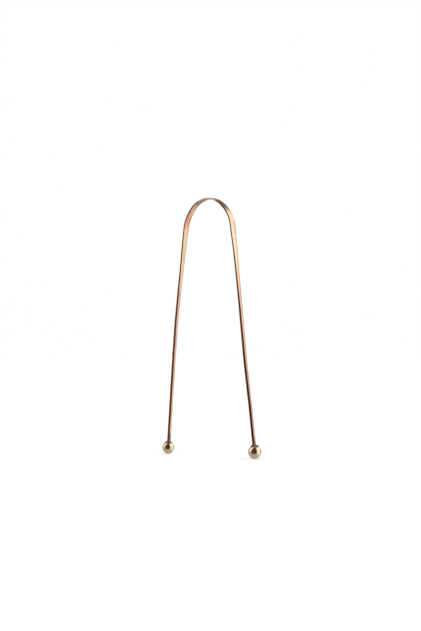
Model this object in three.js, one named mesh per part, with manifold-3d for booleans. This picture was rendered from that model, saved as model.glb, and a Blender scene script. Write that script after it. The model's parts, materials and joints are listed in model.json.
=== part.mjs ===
// Tongue cleaner: a copper strip bent into a tall U, with a brass ball soldered on each end.
// Millimetres. +Z runs from the balls up to the bow, +X towards the right ball and +Y away from
// the viewer. The origin lies on the surface below the balls, midway between their outer sides.
// The strip is one piece of rod whose middle is flattened into a blade. It bends there like a
// spring, so it is made as a bow and two arms, parted at each shoulder by a thin gap.

import * as THREE from "three";
import { mergeVertices } from "three/addons/utils/BufferGeometryUtils.js";
import Module from "manifold-3d";

// Driving sizes of the whole
const overallHeight = 140;
const ballSpacing = 66;

// The bow, bent by hand a little off centre: its radius runs to the middle of the blade
const bowRadius = 18;
const bowShift = -0.5;
const pegSeatLength = 2;

// The angle between each arm and the vertical where it leaves the bow
const leftFlareDeg = 9.3;
const rightFlareDeg = 7.5;

// The strip: a square rod with soft corners, flattened into a blade that runs just past the
// shoulders. From there it narrows to the rod's side, fast at first, and slowly grows as thick.
const rodSide = 1.72;
const rodCorner = 0.35;
const bladeWidth = 3.9;
const bladeThickness = 1;
const bladeCorner = 0.45;
const bladeRun = 2;
const narrowingLength = 62;
const thickeningLength = 60;
const shoulderGap = 0.3;

// The largest part of the thickness that a corner may take
const cornerLimit = 0.48;

// The balls, each with a blind socket for the rod and a small flat where it was parted off
const leftBallDiameter = 6.8;
const rightBallDiameter = 7.3;
const footDiameter = 1.4;
const socketDepth = 4.4;
const socketFloorGap = 0.3;

// The solder: a hollow-sided ring round the rod, with a thin film that fills the socket's mouth
const solderGap = 0.12;
const solderFootRadius = 2.1;
const solderHeight = 2.2;
const solderFilm = 0.16;

// How finely the curves are cut
const cornerSteps = 3;
const bowHalfSteps = 14;
const bladeSteps = 3;
const taperSteps = 16;
const rodSteps = 6;
const boreSides = 16;
const ballSides = 32;
const ballSteps = 18;
const solderSteps = 7;

const weldDistance = 0.0001;
const cutOverrun = 1;

const copper = new THREE.MeshStandardMaterial({ color: 0xc07a4e, roughness: 0.32, metalness: 1 });
const brass = new THREE.MeshStandardMaterial({ color: 0xc9a66b, roughness: 0.16, metalness: 1 });
const solder = new THREE.MeshStandardMaterial({ color: 0x4a3d33, roughness: 0.55, metalness: 0.8 });

const wasm = await Module();
wasm.setup();

// Half of the angle that the level facet at the top of the bow spans
const seatHalfAngle = Math.asin(pegSeatLength / 2 / bowRadius);
const bowCentre = new THREE.Vector2(
  bowShift,
  overallHeight - (bowRadius + bladeThickness / 2) * Math.cos(seatHalfAngle),
);

// The larger ball would push the box off centre, so both balls move by half the difference
const ballShift = (leftBallDiameter - rightBallDiameter) / 4;

const sides = [
  { name: "left", sign: -1, flareDeg: leftFlareDeg, ballRadius: leftBallDiameter / 2 },
  { name: "right", sign: 1, flareDeg: rightFlareDeg, ballRadius: rightBallDiameter / 2 },
];

// A ball's foot flat lies on the surface, so its middle is a little lower than its radius
function ballFootDepth(side) {
  return Math.sqrt(side.ballRadius ** 2 - (footDiameter / 2) ** 2);
}

function ballCentre(side) {
  return new THREE.Vector2((side.sign * ballSpacing) / 2 + ballShift, ballFootDepth(side));
}

// A point of the bow's centre line, at an angle from the top towards one side
function bowPoint(side, angle) {
  return new THREE.Vector2(
    bowCentre.x + side.sign * bowRadius * Math.sin(angle),
    bowCentre.y + bowRadius * Math.cos(angle),
  );
}

function bowEndAngle(side) {
  return Math.PI / 2 - THREE.MathUtils.degToRad(side.flareDeg);
}

// One arm's centre line, from the end of the bow to the middle of its ball. It leaves the bow
// along the bow's own direction, and its handle point lies on that line above mid length.
function armLine(side) {
  const start = bowPoint(side, bowEndAngle(side));
  const end = ballCentre(side);
  const flare = THREE.MathUtils.degToRad(side.flareDeg);
  const away = new THREE.Vector2(side.sign * Math.sin(flare), -Math.cos(flare));
  const chord = end.clone().sub(start);
  const reach = chord.lengthSq() / (2 * chord.dot(away));
  const handle = start.clone().addScaledVector(away, reach);
  return new THREE.QuadraticBezierCurve(start, handle, end);
}

// Width, thickness and corner radius of the strip, at a distance below the end of the bow
function stripSize(distance) {
  const { clamp, lerp, smoothstep } = THREE.MathUtils;
  const narrowed = 1 - (1 - clamp((distance - bladeRun) / narrowingLength, 0, 1)) ** 2;
  const thickened = smoothstep(distance, bladeRun, bladeRun + thickeningLength);
  const thickness = lerp(bladeThickness, rodSide, thickened);
  return {
    width: lerp(bladeWidth, rodSide, narrowed),
    thickness,
    corner: Math.min(lerp(bladeCorner, rodCorner, thickened), cornerLimit * thickness),
  };
}

// One cross-section of the strip: an oblong with rounded corners, across a centre line that runs
// along the direction given
function stripRing(centre, along, size) {
  const points = [];
  for (const quarter of [0, 1, 2, 3]) {
    const middle = ((quarter + 0.5) * Math.PI) / 2;
    const outTo = Math.sign(Math.cos(middle)) * (size.thickness / 2 - size.corner);
    const acrossTo = Math.sign(Math.sin(middle)) * (size.width / 2 - size.corner);
    for (const turn of spaced(quarter, quarter + 1, cornerSteps)) {
      const out = outTo + size.corner * Math.cos((turn * Math.PI) / 2);
      const across = acrossTo + size.corner * Math.sin((turn * Math.PI) / 2);
      points.push(new THREE.Vector3(centre.x - along.y * out, -across, centre.y + along.x * out));
    }
  }
  return points;
}

// Joins a row of cross-sections into one closed solid
function skin(rings) {
  const count = rings[0].length;
  const indices = [];
  for (let row = 0; row < rings.length - 1; row += 1) {
    for (let i = 0; i < count; i += 1) {
      const next = (i + 1) % count;
      const [a, b] = [row * count + i, row * count + next];
      indices.push(a, b, b + count, a, b + count, a + count);
    }
  }
  const last = (rings.length - 1) * count;
  for (let i = 1; i < count - 1; i += 1) {
    indices.push(0, i + 1, i, last, last + i, last + i + 1);
  }
  const geometry = new THREE.BufferGeometry().setFromPoints(rings.flat());
  geometry.setIndex(indices);
  geometry.computeVertexNormals();
  return geometry;
}

// Numbers spaced evenly from one to another, both ends included
function spaced(from, to, steps) {
  return Array.from({ length: steps + 1 }, (_, i) => from + ((to - from) * i) / steps);
}

function bowRing(side, angle) {
  const along = new THREE.Vector2(Math.cos(angle), -side.sign * Math.sin(angle));
  return stripRing(bowPoint(side, angle), along, stripSize(0));
}

// The bow runs from the left shoulder over the top, where it has a level facet, to the right one
function bowGeometry() {
  const [left, right] = sides;
  const trim = shoulderGap / 2 / bowRadius;
  const leftAngles = spaced(bowEndAngle(left) - trim, seatHalfAngle, bowHalfSteps);
  const rightAngles = spaced(seatHalfAngle, bowEndAngle(right) - trim, bowHalfSteps);
  return skin([
    ...leftAngles.map((angle) => bowRing(left, angle)),
    ...rightAngles.map((angle) => bowRing(right, angle)),
  ]);
}

// An arm runs from the shoulder gap down to its ball, and then straight to the socket's floor
function armGeometry(side) {
  const line = armLine(side);
  const length = line.getLength();
  const taperEnd = bladeRun + Math.max(narrowingLength, thickeningLength);
  const distances = [
    ...spaced(shoulderGap / 2, bladeRun, bladeSteps),
    ...spaced(bladeRun, taperEnd, taperSteps).slice(1),
    ...spaced(taperEnd, length - side.ballRadius, rodSteps).slice(1),
  ];
  const rings = distances.map((distance) => {
    const along = line.getTangentAt(distance / length).multiplyScalar(side.sign);
    return stripRing(line.getPointAt(distance / length), along, stripSize(distance));
  });
  const inward = line.getTangentAt(1);
  const tip = socketDepth - socketFloorGap - side.ballRadius;
  const end = ballCentre(side).addScaledVector(inward, tip);
  rings.push(stripRing(end, inward.multiplyScalar(side.sign), stripSize(length)));
  return skin(side.sign < 0 ? rings.reverse() : rings);
}

// How far the rod leans from the vertical where it enters its ball
function rodLean(side) {
  const along = armLine(side).getTangentAt(1);
  return Math.atan2(-along.x, -along.y);
}

function toSolid(geometry) {
  const bare = new THREE.BufferGeometry();
  bare.setAttribute("position", geometry.getAttribute("position"));
  bare.setIndex(geometry.getIndex());
  const welded = mergeVertices(bare, weldDistance);
  const index = welded.getIndex().array;
  const triangles = [];
  for (let i = 0; i < index.length; i += 3) {
    const corners = [index[i], index[i + 1], index[i + 2]];
    if (new Set(corners).size === 3) triangles.push(...corners);
  }
  return new wasm.Manifold(new wasm.Mesh({
    numProp: 3,
    vertProperties: new Float32Array(welded.getAttribute("position").array),
    triVerts: new Uint32Array(triangles),
  }));
}

function toGeometry(solid) {
  const mesh = solid.getMesh();
  const geometry = new THREE.BufferGeometry();
  geometry.setAttribute("position", new THREE.BufferAttribute(mesh.vertProperties, 3));
  geometry.setIndex(new THREE.BufferAttribute(mesh.triVerts, 1));
  geometry.computeVertexNormals();
  return geometry;
}

// A turned solid whose axis is first +Y, as LatheGeometry and CylinderGeometry make it, then +Z
function stoodUp(geometry) {
  return geometry.rotateX(Math.PI / 2);
}

// The socket's radius: half of the rod from corner to corner, with room for the solder
function boreRadius() {
  const cornerReach = (rodSide / 2 - rodCorner) * Math.SQRT2 + rodCorner;
  return (cornerReach + solderGap) / Math.cos(Math.PI / boreSides);
}

// The ball round its own middle: a sphere with a foot flat below and the rod's socket above
function ballGeometry(side) {
  const radius = side.ballRadius;
  const footAngle = Math.asin(footDiameter / 2 / radius);
  const profile = spaced(footAngle, Math.PI, ballSteps).map(
    (angle) => new THREE.Vector2(radius * Math.sin(angle), -radius * Math.cos(angle)),
  );
  profile[profile.length - 1].x = 0;
  const sphere = new THREE.LatheGeometry([new THREE.Vector2(0, profile[0].y), ...profile], ballSides);
  const boreLength = socketDepth + cutOverrun;
  const bore = new THREE.CylinderGeometry(
    boreRadius(), boreRadius(), boreLength, boreSides, 1, false, Math.PI / boreSides,
  );
  bore.translate(0, radius - socketDepth + boreLength / 2, 0);
  stoodUp(bore).rotateY(rodLean(side));
  return toGeometry(toSolid(stoodUp(sphere)).subtract(toSolid(bore)));
}

// The solder round the rod's own axis, with its height counted from the middle of the ball
function solderGeometry(side) {
  const seat = side.ballRadius + solderGap;
  const bore = boreRadius();
  const heightAt = (radius) => Math.sqrt(seat ** 2 - radius ** 2);
  const top = side.ballRadius + solderHeight;
  const neck = bore + solderFilm;
  const foot = heightAt(solderFootRadius) + solderFilm;
  const seatPoints = spaced(bore, solderFootRadius, solderSteps).map(
    (radius) => new THREE.Vector2(radius, heightAt(radius)),
  );
  const sidePoints = spaced(0, Math.PI / 2, solderSteps).map(
    (angle) => new THREE.Vector2(
      solderFootRadius - (solderFootRadius - neck) * Math.sin(angle),
      top - (top - foot) * Math.cos(angle),
    ),
  );
  const profile = [...seatPoints, ...sidePoints, new THREE.Vector2(bore, top), seatPoints[0]];
  return stoodUp(new THREE.LatheGeometry(profile, boreSides, Math.PI / boreSides));
}

function named(name, geometry, material) {
  const mesh = new THREE.Mesh(geometry, material);
  mesh.name = name;
  return mesh;
}

// A ball and its ring of solder, which leans with the rod
function armEnd(side) {
  const group = new THREE.Group();
  const centre = ballCentre(side);
  group.position.set(centre.x, 0, centre.y);
  const ring = named(`${side.name}_solder`, solderGeometry(side), solder);
  ring.rotation.y = rodLean(side);
  group.add(named(`${side.name}_ball`, ballGeometry(side), brass), ring);
  return group;
}

const tongueCleaner = new THREE.Group();
tongueCleaner.add(named("scraper_bow", bowGeometry(), copper));
for (const side of sides) {
  tongueCleaner.add(named(`${side.name}_arm`, armGeometry(side), copper), armEnd(side));
}

export default tongueCleaner;
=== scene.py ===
"""Tongue cleaner: a copper strip bent into a tall U, with a brass ball soldered on each end.

Everything is in metres, in the part's own frame: +Z from the balls up to the bow, +X towards the
right ball. Each half of the strip is one mesh from the top of the bow into its ball.
"""

import json
import math

import bmesh
import bpy
import numpy as np
from mathutils import Matrix, Vector, noise


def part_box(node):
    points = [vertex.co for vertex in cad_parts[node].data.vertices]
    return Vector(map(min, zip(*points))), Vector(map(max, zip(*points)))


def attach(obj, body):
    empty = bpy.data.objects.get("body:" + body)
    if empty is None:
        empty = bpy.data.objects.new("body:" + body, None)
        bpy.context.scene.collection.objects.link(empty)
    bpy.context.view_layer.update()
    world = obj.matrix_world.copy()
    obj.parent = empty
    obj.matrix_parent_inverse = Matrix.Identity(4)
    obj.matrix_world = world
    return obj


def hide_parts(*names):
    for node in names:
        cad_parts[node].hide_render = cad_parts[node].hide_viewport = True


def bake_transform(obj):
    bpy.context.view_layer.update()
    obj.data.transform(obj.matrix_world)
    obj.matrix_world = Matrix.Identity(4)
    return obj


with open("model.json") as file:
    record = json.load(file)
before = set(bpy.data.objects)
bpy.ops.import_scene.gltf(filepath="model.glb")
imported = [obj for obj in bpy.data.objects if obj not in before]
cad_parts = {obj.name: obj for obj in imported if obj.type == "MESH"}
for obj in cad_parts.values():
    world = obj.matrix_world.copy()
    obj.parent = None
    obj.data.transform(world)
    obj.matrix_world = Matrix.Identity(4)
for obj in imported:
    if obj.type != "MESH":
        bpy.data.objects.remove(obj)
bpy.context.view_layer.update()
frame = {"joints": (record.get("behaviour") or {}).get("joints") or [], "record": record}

MM = 0.001

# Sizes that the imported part's boxes don't give
BOW_RADIUS = 18 * MM
BLADE_THICKNESS = 1 * MM
BLADE_CORNER = 0.45 * MM
ROD_SIDE = 1.72 * MM
ROD_CORNER = 0.35 * MM
BLADE_RUN = 2 * MM
NARROWING_LENGTH = 62 * MM
THICKENING_LENGTH = 60 * MM
FOOT_RADIUS = 0.7 * MM
SOCKET_DEPTH = 4.1 * MM

# How finely the curve of an arm is sampled, and how far to each side its direction is taken
ARM_SAMPLES = 600
DIRECTION_REACH = 1 * MM

# The camera, as the photograph was taken: far off, level with the middle of the object
CAMERA_AZIMUTH = math.radians(44.88)
CAMERA_DISTANCE = 949.9 * MM
CAMERA_HEIGHT = 63.2 * MM
CAMERA_YAW = math.radians(-0.014)
CAMERA_PITCH = math.radians(-0.776)
CAMERA_ROLL = math.radians(-0.26)
CAMERA_LENS_MM = 100
CAMERA_SENSOR_MM = 36
CAMERA_CLIP = (0.01, 20)


def joint_place(name):
    joint = next(j for j in frame["joints"] if j["name"] == name)
    return Vector(joint["pos_m"])


def mount_place(name):
    mount = next(m for m in frame["record"]["mounts"] if m["name"] == name)
    return Vector(mount["pos_m"])


class Side:
    """One half of the object: its ball, its shoulder and the line that its strip follows."""

    def __init__(self, name, sign):
        self.name = name
        self.sign = sign
        self.body = f"{name}_side"
        self.pivot = joint_place(f"{name}_arm_flex")
        low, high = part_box(f"{name}_ball")
        self.ball_radius = (high.x - low.x) / 2
        depth = math.sqrt(self.ball_radius**2 - FOOT_RADIUS**2)
        self.ball = Vector(((low.x + high.x) / 2, 0, low.z + depth))
        seat = mount_place("peg_seat")
        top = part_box("scraper_bow")[1].z
        self.centre = Vector((seat.x, 0, top - BLADE_THICKNESS / 2 - BOW_RADIUS))
        self.flare = math.asin((self.pivot.z - self.centre.z) / BOW_RADIUS)
        self.arc_length = BOW_RADIUS * (math.pi / 2 - self.flare)
        self.arm_points, self.arm_places = self._arm()
        self.length = self.arc_length + self.arm_places[-1]
        end = self.arm_points[-1] - self.arm_points[-2]
        self.inward = Vector((end[0], 0, end[1])).normalized()

    def _arm(self):
        """A gentle curve that goes on from the bow and ends in the ball's middle, as points and
        how far along it each one is."""
        start = np.array([self.pivot.x, self.pivot.z])
        end = np.array([self.ball.x, self.ball.z])
        away = np.array([self.sign * math.sin(self.flare), -math.cos(self.flare)])
        chord = end - start
        handle = start + away * (chord @ chord) / (2 * chord @ away)
        t = np.linspace(0, 1, ARM_SAMPLES)[:, None]
        points = (1 - t) ** 2 * start + 2 * t * (1 - t) * handle + t**2 * end
        steps = np.linalg.norm(np.diff(points, axis=0), axis=1)
        return points, np.concatenate([[0], np.cumsum(steps)])

    def centre_line(self, s):
        """The point and the outward direction at distance s from the top of the bow."""
        if s <= self.arc_length:
            angle = s / BOW_RADIUS
            out = Vector((self.sign * math.sin(angle), 0, math.cos(angle)))
            return self.centre + out * BOW_RADIUS, out
        place = s - self.arc_length
        x = np.interp(place, self.arm_places, self.arm_points[:, 0])
        z = np.interp(place, self.arm_places, self.arm_points[:, 1])
        low = max(place - DIRECTION_REACH, 0)
        high = min(place + DIRECTION_REACH, self.arm_places[-1])
        dx = np.interp(high, self.arm_places, self.arm_points[:, 0])
        dx -= np.interp(low, self.arm_places, self.arm_points[:, 0])
        dz = np.interp(high, self.arm_places, self.arm_points[:, 1])
        dz -= np.interp(low, self.arm_places, self.arm_points[:, 1])
        out = Vector((-dz, 0, dx)).normalized() * self.sign
        return Vector((x, 0, z)), out


SIDES = [Side("left", -1), Side("right", 1)]
BLADE_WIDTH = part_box("scraper_bow")[1].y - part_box("scraper_bow")[0].y


def smoothstep(value, low, high):
    """0 up to low, 1 from high on, and an even ramp between them."""
    share = min(max((value - low) / (high - low), 0.0), 1.0)
    return share * share * (3 - 2 * share)


def new_object(name, mesh):
    made = bpy.data.objects.new(name, mesh)
    bpy.context.scene.collection.objects.link(made)
    return made


def shade_smooth(mesh, sharp_angle):
    mesh.shade_smooth()
    mesh.set_sharp_from_angle(angle=sharp_angle)


# Shader nodes

class Shader:
    """A node material built in short calls."""

    def __init__(self, name):
        self.material = bpy.data.materials.new(name)
        self.material.use_nodes = True
        self.tree = self.material.node_tree
        self.tree.nodes.clear()
        self.surface = self.add("ShaderNodeBsdfPrincipled")
        output = self.add("ShaderNodeOutputMaterial")
        self.tree.links.new(self.surface.outputs["BSDF"], output.inputs["Surface"])

    def add(self, kind, settings=None, **inputs):
        node = self.tree.nodes.new(kind)
        for key, value in (settings or {}).items():
            setattr(node, key, value)
        for key, value in inputs.items():
            self.feed(node, key.replace("_", " "), value)
        return node

    def feed(self, node, key, value):
        socket = node.inputs[int(key)] if key.isdigit() else node.inputs[key]
        if isinstance(value, bpy.types.NodeSocket):
            self.tree.links.new(value, socket)
        else:
            socket.default_value = value

    def set(self, **inputs):
        for key, value in inputs.items():
            self.feed(self.surface, key.replace("_", " "), value)

    def attribute(self, name):
        return self.add("ShaderNodeAttribute", {"attribute_name": name})

    def stretched(self, vector, scale):
        node = self.add("ShaderNodeVectorMath", {"operation": "MULTIPLY"})
        self.feed(node, "0", vector)
        self.feed(node, "1", scale)
        return node.outputs["Vector"]

    def noise(self, vector, scale=1.0, detail=2.0, roughness=0.5):
        return self.add(
            "ShaderNodeTexNoise", Vector=vector, Scale=scale, Detail=detail, Roughness=roughness
        ).outputs["Fac"]

    def span(self, value, low, high, to_low=0.0, to_high=1.0):
        node = self.add("ShaderNodeMapRange", {"interpolation_type": "SMOOTHSTEP"})
        for key, part in zip(range(5), (value, low, high, to_low, to_high)):
            self.feed(node, str(key), part)
        return node.outputs["Result"]

    def mix(self, share, first, second):
        # The sockets 6, 7 and, among the outputs, 2 are those of a mix of colours
        node = self.add("ShaderNodeMix", {"data_type": "RGBA"})
        self.feed(node, "0", share)
        self.feed(node, "6", first)
        self.feed(node, "7", second)
        return node.outputs[2]

    def math(self, operation, *values):
        node = self.add("ShaderNodeMath", {"operation": operation})
        for i, value in enumerate(values):
            self.feed(node, str(i), value)
        return node.outputs[0]

    def bump(self, height, distance, strength=1.0):
        node = self.add("ShaderNodeBump", Height=height, Distance=distance, Strength=strength)
        return node.outputs["Normal"]


COPPER_GOLDEN = (0.95, 0.64, 0.38, 1)
# The paler copper of a painted highlight on the blade
COPPER_PAINTED_HIGHLIGHT = (0.97, 0.80, 0.57, 1)
COPPER_PINK = (0.88, 0.55, 0.42, 1)
COPPER_ORANGE = (0.88, 0.40, 0.18, 1)
COPPER_GREY = (0.72, 0.63, 0.50, 1)
COPPER_TARNISHED = (0.66, 0.37, 0.26, 1)
# Dark colours of the side faces: partly oxide, partly painted shade of those faces
COPPER_OXIDE_AND_SHADE = (0.19, 0.054, 0.016, 1)
COPPER_OLIVE_OXIDE_AND_SHADE = (0.20, 0.115, 0.04, 1)
COPPER_EDGE = (0.52, 0.37, 0.25, 1)
COPPER_SCALED = (0.20, 0.125, 0.085, 1)
COPPER_GRAZED = (0.90, 0.66, 0.48, 1)
BRASS_BRIGHT = (0.87, 0.75, 0.55, 1)
BRASS_WARM = (0.80, 0.64, 0.42, 1)
SOLDER_DARK = (0.27, 0.18, 0.13, 1)
SOLDER_WORN = (0.47, 0.36, 0.28, 1)

# How fine each noise is, in waves a metre: across, outwards and along the strip, or along the
# axes of a ball, whose own is the last
DRAWN_LINES = (9000, 9000, 90)
STREAKS = (1500, 1500, 30)
PATCHES = (260, 260, 55)
TURNED_RINGS = (60, 60, 5200)
HAZE = (420, 420, 420)
GRAIN = (2600, 2600, 2600)
STAIN = (700, 700, 700)

LINE_DEPTH = 0.006 * MM
RING_DEPTH = 0.003 * MM
GRAIN_DEPTH = 0.03 * MM


def copper_material():
    """Drawn copper: fine lines along the strip, a patchy tarnish, dark oxide on the sides that
    the hammer left alone, which also paints in the shade those sides show, a painted highlight on
    the blade, and the brown scale of the soldering flame near the ball. What differs from place to
    place is in the mesh, point by point."""
    shader = Shader("drawn_copper")
    straight = shader.attribute("straight").outputs["Vector"]
    side = shader.attribute("side").outputs["Fac"]
    scaled = shader.attribute("scaled").outputs["Fac"]
    pink = shader.attribute("pink").outputs["Fac"]
    flush = shader.attribute("flush").outputs["Fac"]
    painted_highlight = shader.attribute("painted_highlight").outputs["Fac"]
    grey = shader.attribute("grey").outputs["Fac"]
    edge = shader.attribute("edge").outputs["Fac"]
    lines = shader.noise(shader.stretched(straight, DRAWN_LINES), detail=4, roughness=0.6)
    streaks = shader.noise(shader.stretched(straight, STREAKS), detail=3)
    patches = shader.noise(shader.stretched(straight, PATCHES), detail=3)
    colour = shader.mix(pink, COPPER_GOLDEN, COPPER_PINK)
    colour = shader.mix(flush, colour, COPPER_ORANGE)
    # Painted highlight: a paler copper patch on the blade below the bow
    colour = shader.mix(painted_highlight, colour, COPPER_PAINTED_HIGHLIGHT)
    colour = shader.mix(grey, colour, COPPER_GREY)
    patchy = shader.span(patches, 0.45, 0.7, to_high=0.5)
    streaky = shader.span(streaks, 0.4, 0.75, to_high=0.3)
    colour = shader.mix(shader.math("ADD", patchy, streaky), colour, COPPER_TARNISHED)
    fringe = shader.math("ADD", edge, shader.span(streaks, 0.3, 0.7, to_low=-0.12, to_high=0.12))
    colour = shader.mix(shader.span(fringe, 0.55, 0.95, to_high=0.75), colour, COPPER_EDGE)
    # The side faces darken: partly oxide, partly painted shade of those faces
    dark_side_mask = shader.math("ADD", side, shader.span(streaks, 0.3, 0.7, to_low=-0.09, to_high=0.09))
    oxide_and_shade = shader.span(dark_side_mask, 0.55, 0.80, to_high=0.96)
    colour = shader.mix(oxide_and_shade, colour, shader.mix(pink, COPPER_OLIVE_OXIDE_AND_SHADE, COPPER_OXIDE_AND_SHADE))
    colour = shader.mix(scaled, colour, COPPER_SCALED)
    brushed = shader.span(lines, 0.3, 0.7, to_low=0.18, to_high=0.30)
    rough = shader.math("ADD", brushed, shader.math("MULTIPLY", scaled, 0.1))
    shader.set(
        Base_Color=colour, Metallic=1.0, Roughness=rough, Specular_Tint=COPPER_GRAZED,
        Normal=shader.bump(lines, distance=LINE_DEPTH, strength=0.6),
    )
    return shader.material


def brass_material():
    """Polished brass, turned: faint rings round the ball's own axis under a soft haze."""
    shader = Shader("polished_brass")
    place = shader.add("ShaderNodeTexCoord").outputs["Object"]
    rings = shader.noise(shader.stretched(place, TURNED_RINGS), detail=3)
    haze = shader.noise(shader.stretched(place, HAZE), detail=4)
    colour = shader.mix(shader.span(haze, 0.42, 0.72), BRASS_BRIGHT, BRASS_WARM)
    rough = shader.span(haze, 0.35, 0.7, to_low=0.07, to_high=0.16)
    shader.set(
        Base_Color=colour, Metallic=1.0, Roughness=rough,
        Normal=shader.bump(rings, distance=RING_DEPTH, strength=0.5),
    )
    return shader.material


def solder_material():
    """Dull dark solder with flux stain, and patches of a brighter worn tone."""
    shader = Shader("dark_solder")
    place = shader.add("ShaderNodeTexCoord").outputs["Object"]
    grain = shader.noise(shader.stretched(place, GRAIN), detail=5, roughness=0.65)
    stain = shader.noise(shader.stretched(place, STAIN), detail=3)
    colour = shader.mix(shader.span(stain, 0.42, 0.72), SOLDER_DARK, SOLDER_WORN)
    rough = shader.span(grain, 0.3, 0.7, to_low=0.32, to_high=0.55)
    shader.set(
        Base_Color=colour, Metallic=0.85, Roughness=rough,
        Normal=shader.bump(grain, distance=GRAIN_DEPTH, strength=0.7),
    )
    return shader.material


# The strip

CROWN_HEIGHT = 0.10 * MM
CORNER_STEPS = 6
FLAT_STEPS = 9
SIDE_STEPS = 4


def strip_size(place):
    """Width, thickness and corner radius of the strip, at a distance below the end of the bow."""
    narrowed = 1 - (1 - min(max((place - BLADE_RUN) / NARROWING_LENGTH, 0), 1)) ** 2
    thickened = smoothstep(place, BLADE_RUN, BLADE_RUN + THICKENING_LENGTH)
    width = BLADE_WIDTH + (ROD_SIDE - BLADE_WIDTH) * narrowed
    thickness = BLADE_THICKNESS + (ROD_SIDE - BLADE_THICKNESS) * thickened
    corner = BLADE_CORNER + (ROD_CORNER - BLADE_CORNER) * thickened
    return width, thickness, corner


def section_points(width, thickness, corner):
    """An oblong with rounded corners and slightly crowned flats. Each point is its place across,
    its place outwards and how far sideways it faces, from 0 on a flat to 1 on a side."""
    points = []
    for quarter in range(4):
        middle = (quarter + 0.5) * math.pi / 2
        out_to = math.copysign(thickness / 2 - corner, math.cos(middle))
        across_to = math.copysign(width / 2 - corner, math.sin(middle))
        for step in range(CORNER_STEPS + 1):
            angle = (quarter + step / CORNER_STEPS) * math.pi / 2
            across = across_to + corner * math.sin(angle)
            points.append((across, out_to + corner * math.cos(angle), abs(math.sin(angle))))
        on_side = quarter % 2 == 0
        steps = SIDE_STEPS if on_side else FLAT_STEPS
        for step in range(1, steps):
            share = 1 - 2 * step / steps
            if on_side:
                points.append((math.copysign(width / 2, across_to), share * out_to, 1.0))
            else:
                points.append((share * across_to, math.copysign(thickness / 2, out_to), 0.0))
    crowned = []
    for across, out, sideways in points:
        drop = CROWN_HEIGHT * (2 * across / width) ** 2
        crowned.append((across, out - drop * out / (thickness / 2), sideways))
    return crowned


# The spacing of the mesh's rings, and how close the second one is to the seam at the bow's top
RING_SPACING = 0.35 * MM
SEAM_STEP = 0.01 * MM

# The unevenness of the surface: its height, the length of its slow and of its quick waves, and
# the share and the shift of the quick ones
RELIEF_HEIGHT = 0.02 * MM
RELIEF_SLOW = 9 * MM
RELIEF_QUICK = 2.6 * MM
RELIEF_QUICK_SHARE = 0.35
RELIEF_QUICK_SHIFT = Vector((4, 8, 15))

# The brown scale of the soldering flame: how far above the ball it is whole, where it has faded
# out, and its strength
SCALED_END = {"left": (3.6 * MM, 5.6 * MM, 0.62), "right": (1 * MM, 6 * MM, 0.6)}

# Ramps along the strip, from the top of the bow: where the dark oxide and painted shade of the
# sides start and are whole, and where the grey of the worn sides and the pink of the bow start
# to fade and have gone
POLISHED_TOP = (4.5 * MM, 8 * MM)
GREY_TOP = (3 * MM, 8 * MM)
PINK_TOP = (12 * MM, 22 * MM)

# Where the rods turn pink again, below the end of the bow
PINK_ROD = (20 * MM, 48 * MM)

# A painted highlight and an orange patch on the blade: place, reach and strength
PAINTED_HIGHLIGHT_PATCH = {"left": (33 * MM, 7 * MM, 0.35), "right": (34 * MM, 11 * MM, 0.75)}
FLUSHED = {"left": (21.5 * MM, 5 * MM, 1.0), "right": (21.5 * MM, 5 * MM, 0.0)}

# Where the dark oxide and painted shade of the sides creep over the corners, or stay off them:
# place, reach and how far
CREEP = {"left": (38 * MM, 12 * MM, -0.10), "right": (52 * MM, 26 * MM, 0.18)}

# Where the bow is flatter than a circle: place, reach and how deep
FLATTENED = {"left": (18 * MM, 7 * MM, 0.26 * MM), "right": (13.5 * MM, 7 * MM, 0.32 * MM)}

# How far each rod is twisted about its own line, and how far that line strays towards +X from the
# drawn curve: places below the bow and shifts, all in millimetres
TWIST_DEG = {"left": -9, "right": 12}
TWIST_PLACES = {"left": (40 * MM, 100 * MM), "right": (25 * MM, 100 * MM)}
STRAYS = {
    "left": (
        (0, 0), (20, 0), (36, -0.25), (52, -0.38), (66, -0.14), (84, 0.10), (104, 0.28),
        (114, 0.22), (124, 0.08),
    ),
    "right": (
        (0, 0), (14, 0.19), (28, 0.04), (40, -0.1), (56, -0.35), (74, -0.56), (88, -0.26),
        (98, -0.04), (112, 0), (124, -0.06),
    ),
}


def stray(side, place):
    """How far the strip's line strays towards +X, at a distance below the bow."""
    knots = STRAYS[side.name]
    for (start, first), (end, last) in zip(knots, knots[1:]):
        if place < end * MM:
            return (first + (last - first) * smoothstep(place, start * MM, end * MM)) * MM
    return 0.0


def patch(s, place, reach, strength):
    """A soft patch: its strength at its place, fading out over its reach."""
    return strength * math.exp(-(((s - place) / reach) ** 2))


def relief(point):
    """How far hand work lifts or lowers the surface there."""
    slow = noise.noise(point / RELIEF_SLOW)
    quick = noise.noise(point / RELIEF_QUICK + RELIEF_QUICK_SHIFT)
    return RELIEF_HEIGHT * (slow + RELIEF_QUICK_SHARE * quick)


def ring_place(side, s):
    """The middle of the strip at distance s from the top of the bow, and its outward and its
    crosswise direction there, with all that the hand left uneven."""
    centre, out = side.centre_line(min(s, side.length))
    if s > side.length:
        centre = side.ball + side.inward * (s - side.length)
    below_bow = s - side.arc_length
    centre -= out * patch(s, *FLATTENED[side.name])
    centre.x += stray(side, below_bow)
    twisted = smoothstep(below_bow, *TWIST_PLACES[side.name])
    twist = math.radians(TWIST_DEG[side.name]) * twisted
    twisted_out = out * math.cos(twist) + Vector((0, math.sin(twist), 0))
    twisted_across = Vector((0, math.cos(twist), 0)) - out * math.sin(twist)
    return centre, twisted_out, twisted_across


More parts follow.
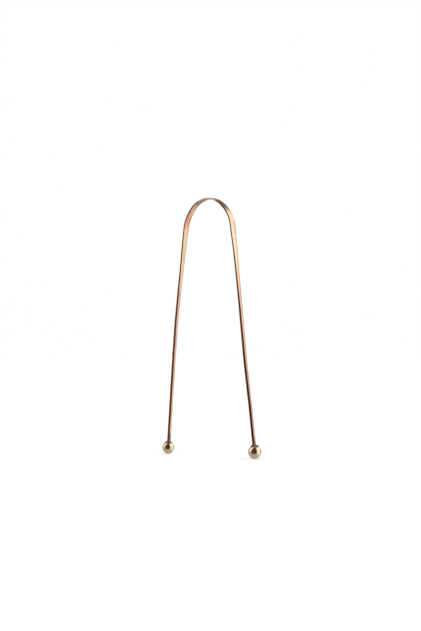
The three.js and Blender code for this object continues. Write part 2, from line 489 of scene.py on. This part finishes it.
def point_values(side, s, width, across, height, sideways):
    """What the copper's material reads from the mesh at one point of the ring at s."""
    to_ball = side.length - side.ball_radius - s
    whole, faded, scale_strength = SCALED_END[side.name]
    darkening = smoothstep(s, *POLISHED_TOP)
    rod_pink = smoothstep(s - side.arc_length, *PINK_ROD)
    return {
        "straight": (across, height, s),
        # Dark sides: oxide, and painted shade of the side faces
        "side": (sideways + patch(s, *CREEP[side.name])) * darkening,
        "edge": abs(across) / (width / 2) * darkening,
        "scaled": scale_strength * (1 - smoothstep(to_ball, whole, faded)),
        "pink": rod_pink + 1 - smoothstep(s, *PINK_TOP),
        "flush": patch(s, *FLUSHED[side.name]),
        # Painted highlight patch on the blade
        "painted_highlight": patch(s, *PAINTED_HIGHLIGHT_PATCH[side.name]),
        "grey": sideways * (1 - smoothstep(s, *GREY_TOP)),
    }


def tube_faces(count, total, flipped):
    """The faces between rings of count points each, and one over each end."""
    faces = []
    for row in range(total - 1):
        for i in range(count):
            a, b = row * count + i, row * count + (i + 1) % count
            faces.append((a, b, b + count, a + count))
    faces.append(tuple(range(count))[::-1])
    faces.append(tuple(range((total - 1) * count, total * count)))
    return [face[::-1] for face in faces] if flipped else faces


def half_strip(side, material):
    """One half of the strip, as a closed mesh of rings from the top of the bow into the ball."""
    tip = side.length - (side.ball_radius - SOCKET_DEPTH)
    rows = [0, SEAM_STEP, *np.linspace(RING_SPACING, tip, round(tip / RING_SPACING))]
    mesh_points, values = [], []
    for s in rows:
        centre, out, crosswise = ring_place(side, s)
        width, thickness, corner = strip_size(s - side.arc_length)
        section = section_points(width, thickness, corner)
        for across, height, sideways in section:
            offset = out * height + crosswise * across
            point = centre + offset
            mesh_points.append(point + offset.normalized() * relief(point))
            values.append(point_values(side, s, width, across, height, sideways))
    faces = tube_faces(len(section), len(rows), flipped=side.sign > 0)
    mesh = bpy.data.meshes.new(f"{side.name}_strip")
    mesh.from_pydata([tuple(p) for p in mesh_points], [], faces)
    for name, first in values[0].items():
        is_vector = isinstance(first, tuple)
        kind, key = ("FLOAT_VECTOR", "vector") if is_vector else ("FLOAT", "value")
        numbers = np.array([value[name] for value in values], np.float32)
        layer = mesh.attributes.new(name, kind, "POINT")
        layer.data.foreach_set(key, numbers.ravel())
    shade_smooth(mesh, sharp_angle=math.radians(60))
    mesh.materials.append(material)
    strip = new_object(f"{side.name}_strip", mesh)
    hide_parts("scraper_bow", f"{side.name}_arm")
    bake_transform(strip)
    return strip


# The balls and their solder

def turned(name, profile, steps, shape=None):
    """A mesh turned round +Z from (radius, height) pairs. A profile that starts and ends on the
    axis closes itself, and any other is closed as a ring."""
    mesh = bpy.data.meshes.new(name)
    made = bmesh.new()
    rows = []
    for radius, height in profile:
        if radius == 0:
            rows.append([made.verts.new((0, 0, height))] * steps)
            continue
        row = []
        for i in range(steps):
            turn = 2 * math.pi * i / steps
            r, h = shape(radius, height, turn) if shape else (radius, height)
            row.append(made.verts.new((r * math.cos(turn), r * math.sin(turn), h)))
        rows.append(row)
    if profile[0][0] != 0:
        rows.append(rows[0])
    for low, high in zip(rows, rows[1:]):
        for i in range(steps):
            j = (i + 1) % steps
            corners = [low[i], low[j], high[j], high[i]]
            made.faces.new(list(dict.fromkeys(corners)))
    bmesh.ops.recalc_face_normals(made, faces=made.faces)
    made.to_mesh(mesh)
    made.free()
    return mesh


def lean_matrix(side):
    """From a shape's own frame, +Z up its rod and its middle at zero, to the ball's place."""
    lean = math.atan2(-side.inward.x, -side.inward.z)
    return Matrix.Translation(side.ball) @ Matrix.Rotation(lean, 4, "Y")


BALL_STEPS = 96
BALL_ROWS = 64
MOUTH_BEVEL = 0.12 * MM
SOCKET_CLEARANCE = 0.06 * MM
CUT_TOLERANCE = 1e-7

# How far a corner of the rod is from its middle
ROD_REACH = (ROD_SIDE / 2 - ROD_CORNER) * math.sqrt(2) + ROD_CORNER


def ball(side, material):
    """A turned ball: a foot flat below, and a socket with a broken edge that takes the rod."""
    radius = side.ball_radius
    bore = ROD_REACH + SOCKET_CLEARANCE
    mouth_angle = math.asin((bore + MOUTH_BEVEL) / radius)
    angles = np.linspace(0, math.pi - mouth_angle, BALL_ROWS)
    profile = [(0, -radius)]
    profile += [(radius * math.sin(a), -radius * math.cos(a)) for a in angles[1:]]
    top = radius * math.cos(mouth_angle)
    socket_floor = radius - SOCKET_DEPTH
    profile += [(bore, top - MOUTH_BEVEL), (bore, socket_floor), (0, socket_floor)]
    mesh = turned(f"{side.name}_turned_ball", profile, BALL_STEPS)
    place = lean_matrix(side)
    cut = bmesh.new()
    cut.from_mesh(mesh)
    floor_point = place.inverted() @ Vector((side.ball.x, 0, 0))
    floor_normal = (place.to_3x3().inverted() @ Vector((0, 0, -1))).normalized()
    parts = list(cut.verts) + list(cut.edges) + list(cut.faces)
    result = bmesh.ops.bisect_plane(
        cut, geom=parts, plane_co=floor_point, plane_no=floor_normal, clear_outer=True,
        dist=CUT_TOLERANCE,
    )
    rim = [item for item in result["geom_cut"] if isinstance(item, bmesh.types.BMEdge)]
    bmesh.ops.contextual_create(cut, geom=rim)
    bmesh.ops.recalc_face_normals(cut, faces=cut.faces)
    cut.to_mesh(mesh)
    cut.free()
    shade_smooth(mesh, sharp_angle=math.radians(30))
    mesh.materials.append(material)
    made = new_object(f"{side.name}_turned_ball", mesh)
    made.matrix_world = place
    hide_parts(f"{side.name}_ball")
    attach(made, side.body)
    return made


SOLDER_STEPS = 72
SOLDER_ROWS = 18
# The ring's underside follows the ball, sunk a little into it, from a bore that the rod hides. Its
# skirt is even but for a rounded foot, and climbs the rod at the neck.
SOLDER_BORE = 0.8 * MM
SOLDER_SINK = 0.03 * MM
SOLDER_SKIRT = 0.12 * MM
SOLDER_SKIRT_RISE = 0.25
SOLDER_NECK = ROD_REACH + 0.12 * MM
SOLDER_LIP = 0.05 * MM
SOLDER_CLIMB_POWER = 3.2
SOLDER_FOOT = {"left": 2.25 * MM, "right": 2.3 * MM}
SOLDER_HEIGHT = {"left": 0.15 * MM, "right": 0.45 * MM}

# Its lumps: how far they stand out, how they stretch in height, and how fine the slow and the
# quick ones are, with the share of the quick ones
LUMP_REACH = 0.12 * MM
LUMP_STRETCH = 1.5 * MM
SLOW_LUMPS = 1.3
QUICK_LUMPS = 4
QUICK_LUMP_SHARE = 0.4

# The nub on the right one, towards the camera: how far it stands out and up, and its half width
NUB_REACH = 0.3 * MM
NUB_LIFT = 0.2 * MM
NUB_SPREAD = 0.4


def solder_ring(side, material):
    """The solder: a thin skirt on the ball that climbs the rod, uneven as it froze."""
    seat = side.ball_radius - SOLDER_SINK
    foot, climb = SOLDER_FOOT[side.name], SOLDER_HEIGHT[side.name]
    profile = []
    for radius in np.linspace(SOLDER_BORE, foot, SOLDER_ROWS):
        profile.append((radius, math.sqrt(seat**2 - radius**2)))
    for share in np.linspace(0, 1, 2 * SOLDER_ROWS)[1:]:
        radius = foot + (SOLDER_NECK - foot) * share
        skirt = SOLDER_SKIRT * smoothstep(share, 0, SOLDER_SKIRT_RISE)
        lift = skirt + climb * share**SOLDER_CLIMB_POWER
        profile.append((radius, math.sqrt(seat**2 - radius**2) + lift))
    profile.append((SOLDER_BORE, profile[-1][1] - SOLDER_LIP))
    seed = Vector((side.sign * 5, 3, 1))

    def frozen(radius, height, turn):
        outer = smoothstep(radius, SOLDER_BORE, SOLDER_NECK)
        spot = Vector((math.cos(turn), math.sin(turn), height / LUMP_STRETCH))
        lump = noise.noise(spot * SLOW_LUMPS + seed)
        lump += QUICK_LUMP_SHARE * noise.noise(spot * QUICK_LUMPS + seed)
        grown = radius + outer * LUMP_REACH * lump
        if side.name == "right":
            away = math.remainder(turn - CAMERA_AZIMUTH, 2 * math.pi)
            bulge = patch(away, 0, NUB_SPREAD, outer) * smoothstep(radius, SOLDER_NECK, foot)
            grown += NUB_REACH * bulge
            height += NUB_LIFT * bulge
        return grown, height

    mesh = turned(f"{side.name}_solder_ring", profile, SOLDER_STEPS, frozen)
    shade_smooth(mesh, sharp_angle=math.radians(50))
    mesh.materials.append(material)
    made = new_object(f"{side.name}_solder_ring", mesh)
    made.matrix_world = lean_matrix(side)
    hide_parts(f"{side.name}_solder")
    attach(made, side.body)
    return made


# The studio

FLOOR_REACH = 4.0
FLOOR_DROP = 0.05 * MM
FLOOR_COLOUR = (0.86, 0.86, 0.86, 1)
FLOOR_LIFT = 0.645
SHADOW_REACH = 12 * MM


def floor_material():
    """White paper. What lifts it to pure white is dimmed by ambient occlusion close to the object,
    which paints a faint contact shadow there."""
    shader = Shader("white_paper")
    path = shader.add("ShaderNodeLightPath")
    seen = shader.math("MAXIMUM", path.outputs["Is Camera Ray"], path.outputs["Is Glossy Ray"])
    seen = shader.math("MAXIMUM", seen, path.outputs["Is Transmission Ray"])
    # Ambient occlusion paints the contact shadow into the white lift
    open_sky = shader.add("ShaderNodeAmbientOcclusion", Distance=SHADOW_REACH).outputs["AO"]
    lift = shader.math("MULTIPLY", seen, shader.math("MULTIPLY", open_sky, FLOOR_LIFT))
    shader.set(
        Base_Color=FLOOR_COLOUR, Roughness=0.9, Specular_IOR_Level=0.0,
        Emission_Color=(1, 1, 1, 1), Emission_Strength=lift,
    )
    return shader.material


def make_floor():
    mesh = bpy.data.meshes.new("floor")
    r, z = FLOOR_REACH, -FLOOR_DROP
    mesh.from_pydata([(-r, -r, z), (r, -r, z), (r, r, z), (-r, r, z)], [], [(0, 1, 2, 3)])
    mesh.materials.append(floor_material())
    floor = new_object("floor", mesh)
    floor.visible_glossy = False


# The light by direction. Each panel has its range of turn from the camera, its range of height
# and its level, all in degrees but the last. Those below the horizon are the paper as polished
# metal sees it: bright at the sides, and shaded by the camera in front.
PANELS = [
    ((38, 95), (-4, 64), 1.15),
    ((52, 94), (-2, 28), 0.15),
    ((-110, -62), (10, 68), 1.15),
    ((-180, -110), (-6, 40), 0.50),
    ((-110, -70), (-6, 10), 0.55),
    ((95, 134), (-6, 36), 0.66),
    ((95, 131), (24, 54), 0.62),
    ((95, 131), (36, 54), 0.70),
    ((134, 180), (-6, 34), 0.70),
    ((131, 172), (34, 58), 0.17),
    ((36, 96), (-38, -4), 1.0),
    ((96, 134), (-42, -4), 0.72),
    ((112, 150), (-90, -40), 0.35),
    ((-150, -62), (-36, -6), 0.50),
    ((124, 180), (-36, -6), 0.42),
    ((-180, -150), (-36, -6), 0.42),
    ((-400, 400), (-120, -36), 0.42),
    ((36, 180), (64, 80), 0.34),
    ((-180, -36), (64, 80), 0.34),
]
PANEL_EDGE_DEG = 7
BACKDROP_TURN_DEG = 166
BACKDROP_HEIGHT_DEG = (-12, 16)

# The dim room behind the camera, and the paper that the camera shades, in the same terms
ROOM_GLOWS = [
    ((-80, 60), (-120, 120), (0.080, 0.044, 0.019)),
    ((-60, 50), (-36, -14), (0.120, 0.075, 0.036)),
]


def make_world():
    """White behind the object, and a studio round it that lights it and that its metal shows."""
    world = bpy.data.worlds.new("studio")
    bpy.context.scene.world = world
    world.use_nodes = True
    tree = world.node_tree
    tree.nodes.clear()

    def add(kind, settings, *inputs):
        node = tree.nodes.new(kind)
        for key, value in settings.items():
            setattr(node, key, value)
        for socket, value in zip(node.inputs, inputs):
            if isinstance(value, bpy.types.NodeSocket):
                tree.links.new(value, socket)
            elif value is not None:
                socket.default_value = value
        return node

    def calc(operation, *inputs):
        return add("ShaderNodeMath", {"operation": operation}, *inputs).outputs[0]

    def vector(operation, *inputs):
        return add("ShaderNodeVectorMath", {"operation": operation}, *inputs)

    def rise(value, middle):
        ends = (middle - PANEL_EDGE_DEG, middle + PANEL_EDGE_DEG, 0.0, 1.0)
        ramp = add("ShaderNodeMapRange", {"interpolation_type": "SMOOTHSTEP"}, value, *ends)
        return ramp.outputs[0]

    def inside(value, low, high):
        return calc("MULTIPLY", rise(value, low), calc("SUBTRACT", 1.0, rise(value, high)))

    direction = add("ShaderNodeTexCoord", {}).outputs["Generated"]
    right = (math.cos(CAMERA_AZIMUTH), math.sin(CAMERA_AZIMUTH), 0)
    toward = (math.sin(CAMERA_AZIMUTH), -math.cos(CAMERA_AZIMUTH), 0)
    beside = vector("DOT_PRODUCT", direction, right).outputs["Value"]
    ahead = vector("DOT_PRODUCT", direction, toward).outputs["Value"]
    upward = vector("DOT_PRODUCT", direction, (0, 0, 1)).outputs["Value"]
    turn = calc("MULTIPLY", calc("ARCTAN2", beside, ahead), 180 / math.pi)
    height = calc("MULTIPLY", calc("ARCSINE", upward), 180 / math.pi)
    level = 0.0
    for turns, heights, strength in PANELS:
        # A panel that ends straight behind meets the one on the other side there, with no gap
        low, high = (t * 2 if abs(t) == 180 else t for t in turns)
        shape = calc("MULTIPLY", inside(turn, low, high), inside(height, *heights))
        level = calc("MULTIPLY_ADD", shape, strength, level)
    light = vector("MULTIPLY", (1, 1, 1), level).outputs[0]
    for turns, heights, colour in ROOM_GLOWS:
        shape = calc("MULTIPLY", inside(turn, *turns), inside(height, *heights))
        light = vector("MULTIPLY_ADD", colour, shape, light).outputs[0]
    path = add("ShaderNodeLightPath", {}).outputs
    turned_away = rise(calc("ABSOLUTE", turn), BACKDROP_TURN_DEG)
    behind = calc("MULTIPLY", turned_away, inside(height, *BACKDROP_HEIGHT_DEG))
    seen = calc("MAXIMUM", path["Is Camera Ray"], path["Is Transmission Ray"])
    seen = calc("MAXIMUM", seen, calc("MULTIPLY", path["Is Glossy Ray"], behind))
    # The sockets 4, 5 and, among the outputs, 1 are those of a mix of vectors
    mix = add("ShaderNodeMix", {"data_type": "VECTOR"})
    for socket, value in ((0, seen), (4, light)):
        tree.links.new(value, mix.inputs[socket])
    mix.inputs[5].default_value = (1, 1, 1)
    background = add("ShaderNodeBackground", {}, mix.outputs[1], 1.0)
    add("ShaderNodeOutputWorld", {}, background.outputs[0])


def make_camera():
    data = bpy.data.cameras.new("camera")
    data.lens = CAMERA_LENS_MM
    data.sensor_fit = "AUTO"
    data.sensor_width = CAMERA_SENSOR_MM
    data.clip_start, data.clip_end = CAMERA_CLIP
    camera = new_object("camera", data)
    yaw = CAMERA_AZIMUTH + CAMERA_YAW
    level = Vector((-math.sin(yaw), math.cos(yaw), 0))
    side = Vector((math.cos(yaw), math.sin(yaw), 0))
    up = Vector((0, 0, 1))
    forward = level * math.cos(CAMERA_PITCH) - up * math.sin(CAMERA_PITCH)
    top = up * math.cos(CAMERA_PITCH) + level * math.sin(CAMERA_PITCH)
    x = side * math.cos(CAMERA_ROLL) + top * math.sin(CAMERA_ROLL)
    y = top * math.cos(CAMERA_ROLL) - side * math.sin(CAMERA_ROLL)
    turn = Matrix((x, y, -forward)).transposed().to_4x4()
    place = Vector((
        CAMERA_DISTANCE * math.sin(CAMERA_AZIMUTH),
        -CAMERA_DISTANCE * math.cos(CAMERA_AZIMUTH),
        CAMERA_HEIGHT,
    ))
    camera.matrix_world = Matrix.Translation(place) @ turn
    bpy.context.scene.camera = camera


make_camera()
make_world()
make_floor()
bpy.context.scene.view_settings.view_transform = "Standard"

copper = copper_material()
brass = brass_material()
solder = solder_material()
for side in SIDES:
    half_strip(side, copper)
    ball(side, brass)
    solder_ring(side, solder)
